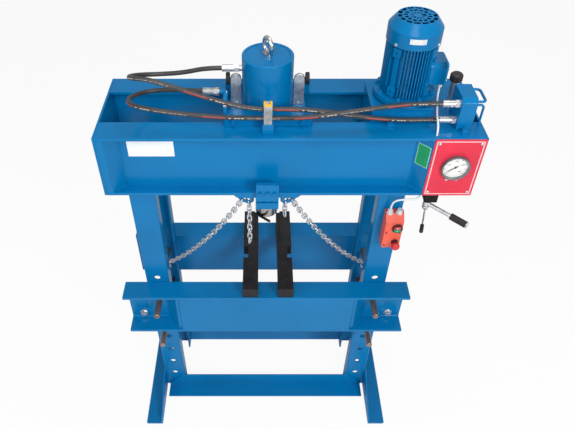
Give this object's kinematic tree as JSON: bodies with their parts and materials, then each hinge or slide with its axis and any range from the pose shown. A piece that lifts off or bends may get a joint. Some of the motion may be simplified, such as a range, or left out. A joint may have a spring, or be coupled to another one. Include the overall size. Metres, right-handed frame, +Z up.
{
  "type": "hydraulic workshop press",
  "caption": "Floor-standing H-frame press with a hydraulic cylinder on a sliding carriage, a pin-set channel bed lifted by chains, and a motor pump unit on the beam.",
  "frame": {"origin": "on the floor under the middle of the whole box", "axes": "+X to the right along the beam, +Y to the back, +Z up"},
  "size_m": [1.322, 0.72, 1.948],
  "materials": {
    "blue_paint": "semi-gloss blue paint",
    "red_paint": "satin red paint",
    "black_steel": "satin black",
    "bright_steel": "bright zinc",
    "chrome": "hard chrome",
    "rubber": "matt black",
    "red_plastic": "satin",
    "stop_red": "gloss",
    "start_green": "gloss",
    "grey_plastic": "matt",
    "black_plastic": "matt",
    "white_cable": "matt",
    "glass": "clear"
  },
  "bodies": {
    "frame": {"bed_pins": "bright_steel", "bed_web_plates": "blue_paint", "bell_housing": "blue_paint", "button_bezels": "black_plastic", "cable_glands": "grey_plastic", "control_valve": "black_steel", "corner_plates": "blue_paint", "end_plates": "blue_paint", "fan_cover": "blue_paint", "filler_breather": "bright_steel", "floor_ties": "blue_paint", "foot_rails": "blue_paint", "front_beam": "blue_paint", "front_bed_channel": "blue_paint", "front_uprights": "blue_paint", "gauge_case": "bright_steel", "gauge_glass": "glass", "gauge_panel": "red_paint", "motor_body": "blue_paint", "motor_cable": "white_cable", "oil_tank": "blue_paint", "press_bars": "black_steel", "pump_fittings": "bright_steel", "rear_beam": "blue_paint", "rear_bed_channel": "blue_paint", "rear_uprights": "blue_paint", "switch_box": "red_plastic", "tank_lid": "blue_paint", "terminal_box": "blue_paint", "valve_block": "blue_paint", "valve_pipes": "blue_paint"},
    "carriage": {"saddle_block": "blue_paint", "keel_plate": "blue_paint", "guide_blocks": "black_steel", "carriage_bolts": "bright_steel", "carriage_arms": "blue_paint", "arm_rollers": "rubber", "cylinder_barrel": "blue_paint", "cylinder_cap": "blue_paint", "cylinder_gland": "bright_steel", "eye_bolt": "bright_steel", "port_fittings": "bright_steel", "hose_post": "blue_paint", "hose_clamp": "grey_plastic", "chain_tails": "bright_steel", "upper_hose": "rubber", "lower_hose": "rubber", "left_lifting_chain": "bright_steel", "right_lifting_chain": "bright_steel"},
    "ram": {"ram": "chrome", "nose_latch": "black_steel"},
    "main_lever": {"main_lever": "bright_steel", "main_grip": "rubber"},
    "trip_lever": {"trip_lever": "bright_steel"},
    "stop_button": {"stop_button": "stop_red"},
    "start_button": {"start_button": "start_green"},
    "emergency_button": {"emergency_button": "red_plastic"},
    "needle": {"gauge_needle": "black_plastic"},
    "fan": {"motor_fan": "black_plastic"}
  },
  "joints": [
    {"name": "carriage_slide", "type": "slide", "parent": "frame", "child": "carriage", "axis": [1, 0, 0], "range_m": [-0.08, 0.08], "deforming": ["upper_hose", "lower_hose", "left_lifting_chain", "right_lifting_chain"]},
    {"name": "ram_slide", "type": "slide", "parent": "carriage", "child": "ram", "axis": [0, 0, -1], "range_m": [-0.17, 0.12]},
    {"name": "main_lever_swing", "type": "hinge", "parent": "frame", "child": "main_lever", "pos_m": [0.519, -0.17, 1.317], "axis": [0, 0, 1], "range_deg": [-15, 15]},
    {"name": "trip_lever_swing", "type": "hinge", "parent": "frame", "child": "trip_lever", "pos_m": [0.519, -0.17, 1.3], "axis": [0, 0, 1], "range_deg": [-15, 15]},
    {"name": "stop_press", "type": "slide", "parent": "frame", "child": "stop_button", "axis": [0, 1, 0], "range_m": [0, 0.003], "stiffness_N_per_m": 500},
    {"name": "start_press", "type": "slide", "parent": "frame", "child": "start_button", "axis": [0, 1, 0], "range_m": [0, 0.003], "stiffness_N_per_m": 500},
    {"name": "emergency_press", "type": "slide", "parent": "frame", "child": "emergency_button", "axis": [0, 1, 0], "range_m": [0, 0.006], "stiffness_N_per_m": 600},
    {"name": "needle_swing", "type": "hinge", "parent": "frame", "child": "needle", "pos_m": [0.575, -0.199, 1.502], "axis": [0, 1, 0], "range_deg": [0, 270], "stiffness_Nm_per_rad": 0.002},
    {"name": "fan_spin", "type": "hinge", "parent": "frame", "child": "fan", "pos_m": [0.403, 0, 1.9], "axis": [0, 0, 1], "continuous": true}
  ]
}
